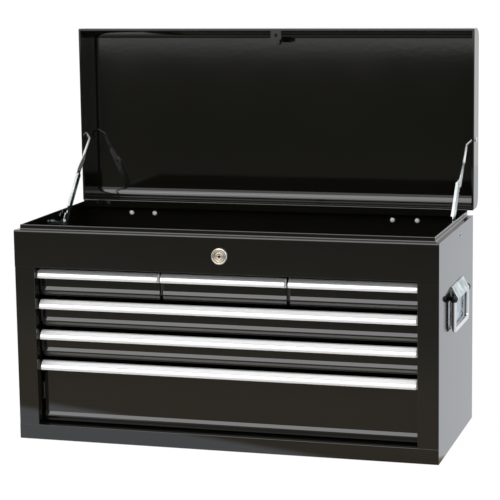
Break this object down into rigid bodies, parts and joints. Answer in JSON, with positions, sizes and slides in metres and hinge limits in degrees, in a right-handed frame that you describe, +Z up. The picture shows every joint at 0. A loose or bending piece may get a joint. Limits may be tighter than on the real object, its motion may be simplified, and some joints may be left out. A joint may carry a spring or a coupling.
{
  "type": "tool chest",
  "caption": "Black sheet-steel tool chest with a hinged lid over an open till, a lock in the top rail, drawers on runners with full-width metal pulls, folding lid stays and side handles.",
  "frame": {"origin": "centre of the base, on the surface the chest stands on", "axes": "+X to the right along the front, -Y out of the front, +Z up; the lid is open at rest"},
  "size_m": [0.6214, 0.3076, 0.564],
  "materials": {
    "black_paint": "gloss",
    "pull_aluminium": "satin",
    "runner_steel": "satin",
    "zinc_plate": "zinc plated",
    "bail_chrome": "polished",
    "lock_nickel": "polished",
    "rivet_aluminium": "satin",
    "cap_plastic": "gloss"
  },
  "bodies": {
    "chest": {"side_panel_left": "black_paint", "side_panel_right": "black_paint", "rear_panel": "black_paint", "base_panel": "black_paint", "top_rail": "black_paint", "bottom_rail": "black_paint", "stile_left": "black_paint", "stile_right": "black_paint", "till_floor": "black_paint", "drawer_dividers": "black_paint", "top_left_runners": "runner_steel", "top_middle_runners": "runner_steel", "top_right_runners": "runner_steel", "upper_runners": "runner_steel", "lower_runners": "runner_steel", "deep_runners": "runner_steel", "hinge_body_leaves": "zinc_plate", "hinge_pins": "zinc_plate", "hinge_rivets": "rivet_aluminium", "stay_rivets": "zinc_plate", "lock_barrel": "lock_nickel", "handle_plate_left": "zinc_plate", "handle_plate_right": "zinc_plate", "handle_rivets": "zinc_plate"},
    "lid": {"lid_shell": "black_paint", "hinge_lid_leaves": "zinc_plate", "lock_strike": "black_paint"},
    "lock": {"lock_plug": "lock_nickel", "lock_cam": "zinc_plate"},
    "stay_arm_left": {"stay_arm_left": "zinc_plate"},
    "stay_link_left": {"stay_link_left": "zinc_plate"},
    "handle_left": {"handle_bail_left": "bail_chrome", "bail_caps_left": "cap_plastic"},
    "stay_arm_right": {"stay_arm_right": "zinc_plate"},
    "stay_link_right": {"stay_link_right": "zinc_plate"},
    "handle_right": {"handle_bail_right": "bail_chrome", "bail_caps_right": "cap_plastic"},
    "top_left_drawer": {"top_left_tray": "black_paint", "top_left_pull": "pull_aluminium", "top_left_slides": "runner_steel"},
    "top_middle_drawer": {"top_middle_tray": "black_paint", "top_middle_pull": "pull_aluminium", "top_middle_slides": "runner_steel"},
    "top_right_drawer": {"top_right_tray": "black_paint", "top_right_pull": "pull_aluminium", "top_right_slides": "runner_steel"},
    "upper_drawer": {"upper_tray": "black_paint", "upper_pull": "pull_aluminium", "upper_slides": "runner_steel"},
    "lower_drawer": {"lower_tray": "black_paint", "lower_pull": "pull_aluminium", "lower_slides": "runner_steel"},
    "deep_drawer": {"deep_tray": "black_paint", "deep_pull": "pull_aluminium", "deep_slides": "runner_steel"}
  },
  "joints": [
    {"name": "lid_hinge", "type": "hinge", "parent": "chest", "child": "lid", "pos_m": [0, 0.135, 0.299], "axis": [1, 0, 0], "range_deg": [0, 90]},
    {"name": "lock_turn", "type": "hinge", "parent": "chest", "child": "lock", "pos_m": [0, -0.13, 0.271], "axis": [0, 1, 0], "range_deg": [0, 90]},
    {"name": "stay_arm_left_pivot", "type": "hinge", "parent": "chest", "child": "stay_arm_left", "pos_m": [-0.2873, 0.0288, 0.286], "axis": [1, 0, 0], "range_deg": [0, 123.6]},
    {"name": "stay_link_left_pivot", "type": "hinge", "parent": "lid", "child": "stay_link_left", "pos_m": [-0.2994, 0.148, 0.4052], "axis": [1, 0, 0], "range_deg": [-123.6, 0]},
    {"name": "stay_arm_right_pivot", "type": "hinge", "parent": "chest", "child": "stay_arm_right", "pos_m": [0.2873, 0.0288, 0.286], "axis": [1, 0, 0], "range_deg": [0, 123.6]},
    {"name": "stay_link_right_pivot", "type": "hinge", "parent": "lid", "child": "stay_link_right", "pos_m": [0.2994, 0.148, 0.4052], "axis": [1, 0, 0], "range_deg": [-123.6, 0]},
    {"name": "handle_left_swing", "type": "hinge", "parent": "chest", "child": "handle_left", "pos_m": [-0.3055, 0, 0.209], "axis": [0, 1, 0], "range_deg": [0, 90]},
    {"name": "handle_right_swing", "type": "hinge", "parent": "chest", "child": "handle_right", "pos_m": [0.3055, 0, 0.209], "axis": [0, -1, 0], "range_deg": [0, 90]},
    {"name": "top_left_drawer_slide", "type": "slide", "parent": "chest", "child": "top_left_drawer", "axis": [0, -1, 0], "range_m": [0, 0.165]},
    {"name": "top_middle_drawer_slide", "type": "slide", "parent": "chest", "child": "top_middle_drawer", "axis": [0, -1, 0], "range_m": [0, 0.165]},
    {"name": "top_right_drawer_slide", "type": "slide", "parent": "chest", "child": "top_right_drawer", "axis": [0, -1, 0], "range_m": [0, 0.165]},
    {"name": "upper_drawer_slide", "type": "slide", "parent": "chest", "child": "upper_drawer", "axis": [0, -1, 0], "range_m": [0, 0.165]},
    {"name": "lower_drawer_slide", "type": "slide", "parent": "chest", "child": "lower_drawer", "axis": [0, -1, 0], "range_m": [0, 0.165]},
    {"name": "deep_drawer_slide", "type": "slide", "parent": "chest", "child": "deep_drawer", "axis": [0, -1, 0], "range_m": [0, 0.165]}
  ],
  "couplings": [
    {"joint": "stay_arm_left_pivot", "follows": "lid_hinge", "ratio": 1.3713},
    {"joint": "stay_link_left_pivot", "follows": "lid_hinge", "ratio": -1.3713},
    {"joint": "stay_arm_right_pivot", "follows": "lid_hinge", "ratio": 1.3713},
    {"joint": "stay_link_right_pivot", "follows": "lid_hinge", "ratio": -1.3713}
  ]
}
